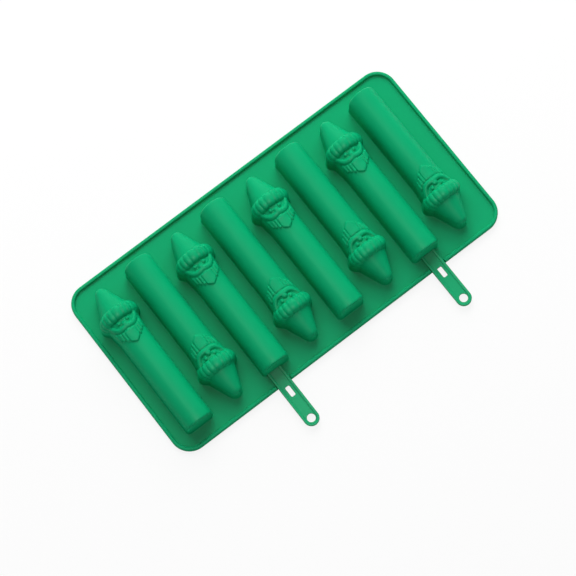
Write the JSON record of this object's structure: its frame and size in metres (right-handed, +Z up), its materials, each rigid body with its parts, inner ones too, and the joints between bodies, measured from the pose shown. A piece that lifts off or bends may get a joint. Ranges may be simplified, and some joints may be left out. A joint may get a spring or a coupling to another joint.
{
  "type": "silicone ice pop mould",
  "caption": "Flat soft tray with a row of bar shaped hollows ending in a bearded figure with a pointed hat, and two flat pop sticks slid in through the ends.",
  "frame": {"origin": "middle of the tray on its flat open face, which lies on the floor", "axes": "+X along the tray's long side, +Y across it along the hollows and away from the sticks, +Z up through the raised backs of the hollows"},
  "size_m": [0.3, 0.1902, 0.0303],
  "materials": {
    "silicone": "satin moulded silicone",
    "stick_plastic": "satin injection moulded plastic"
  },
  "bodies": {
    "tray": {"mould_tray": "silicone"},
    "left_stick": {"stick_left": "stick_plastic"},
    "right_stick": {"stick_right": "stick_plastic"}
  },
  "joints": [
    {"name": "left_stick_slide", "type": "slide", "parent": "tray", "child": "left_stick", "axis": [0, -1, 0], "range_m": [-0.01, 0.0718]},
    {"name": "right_stick_slide", "type": "slide", "parent": "tray", "child": "right_stick", "axis": [0, -1, 0], "range_m": [-0.01, 0.0741]}
  ]
}
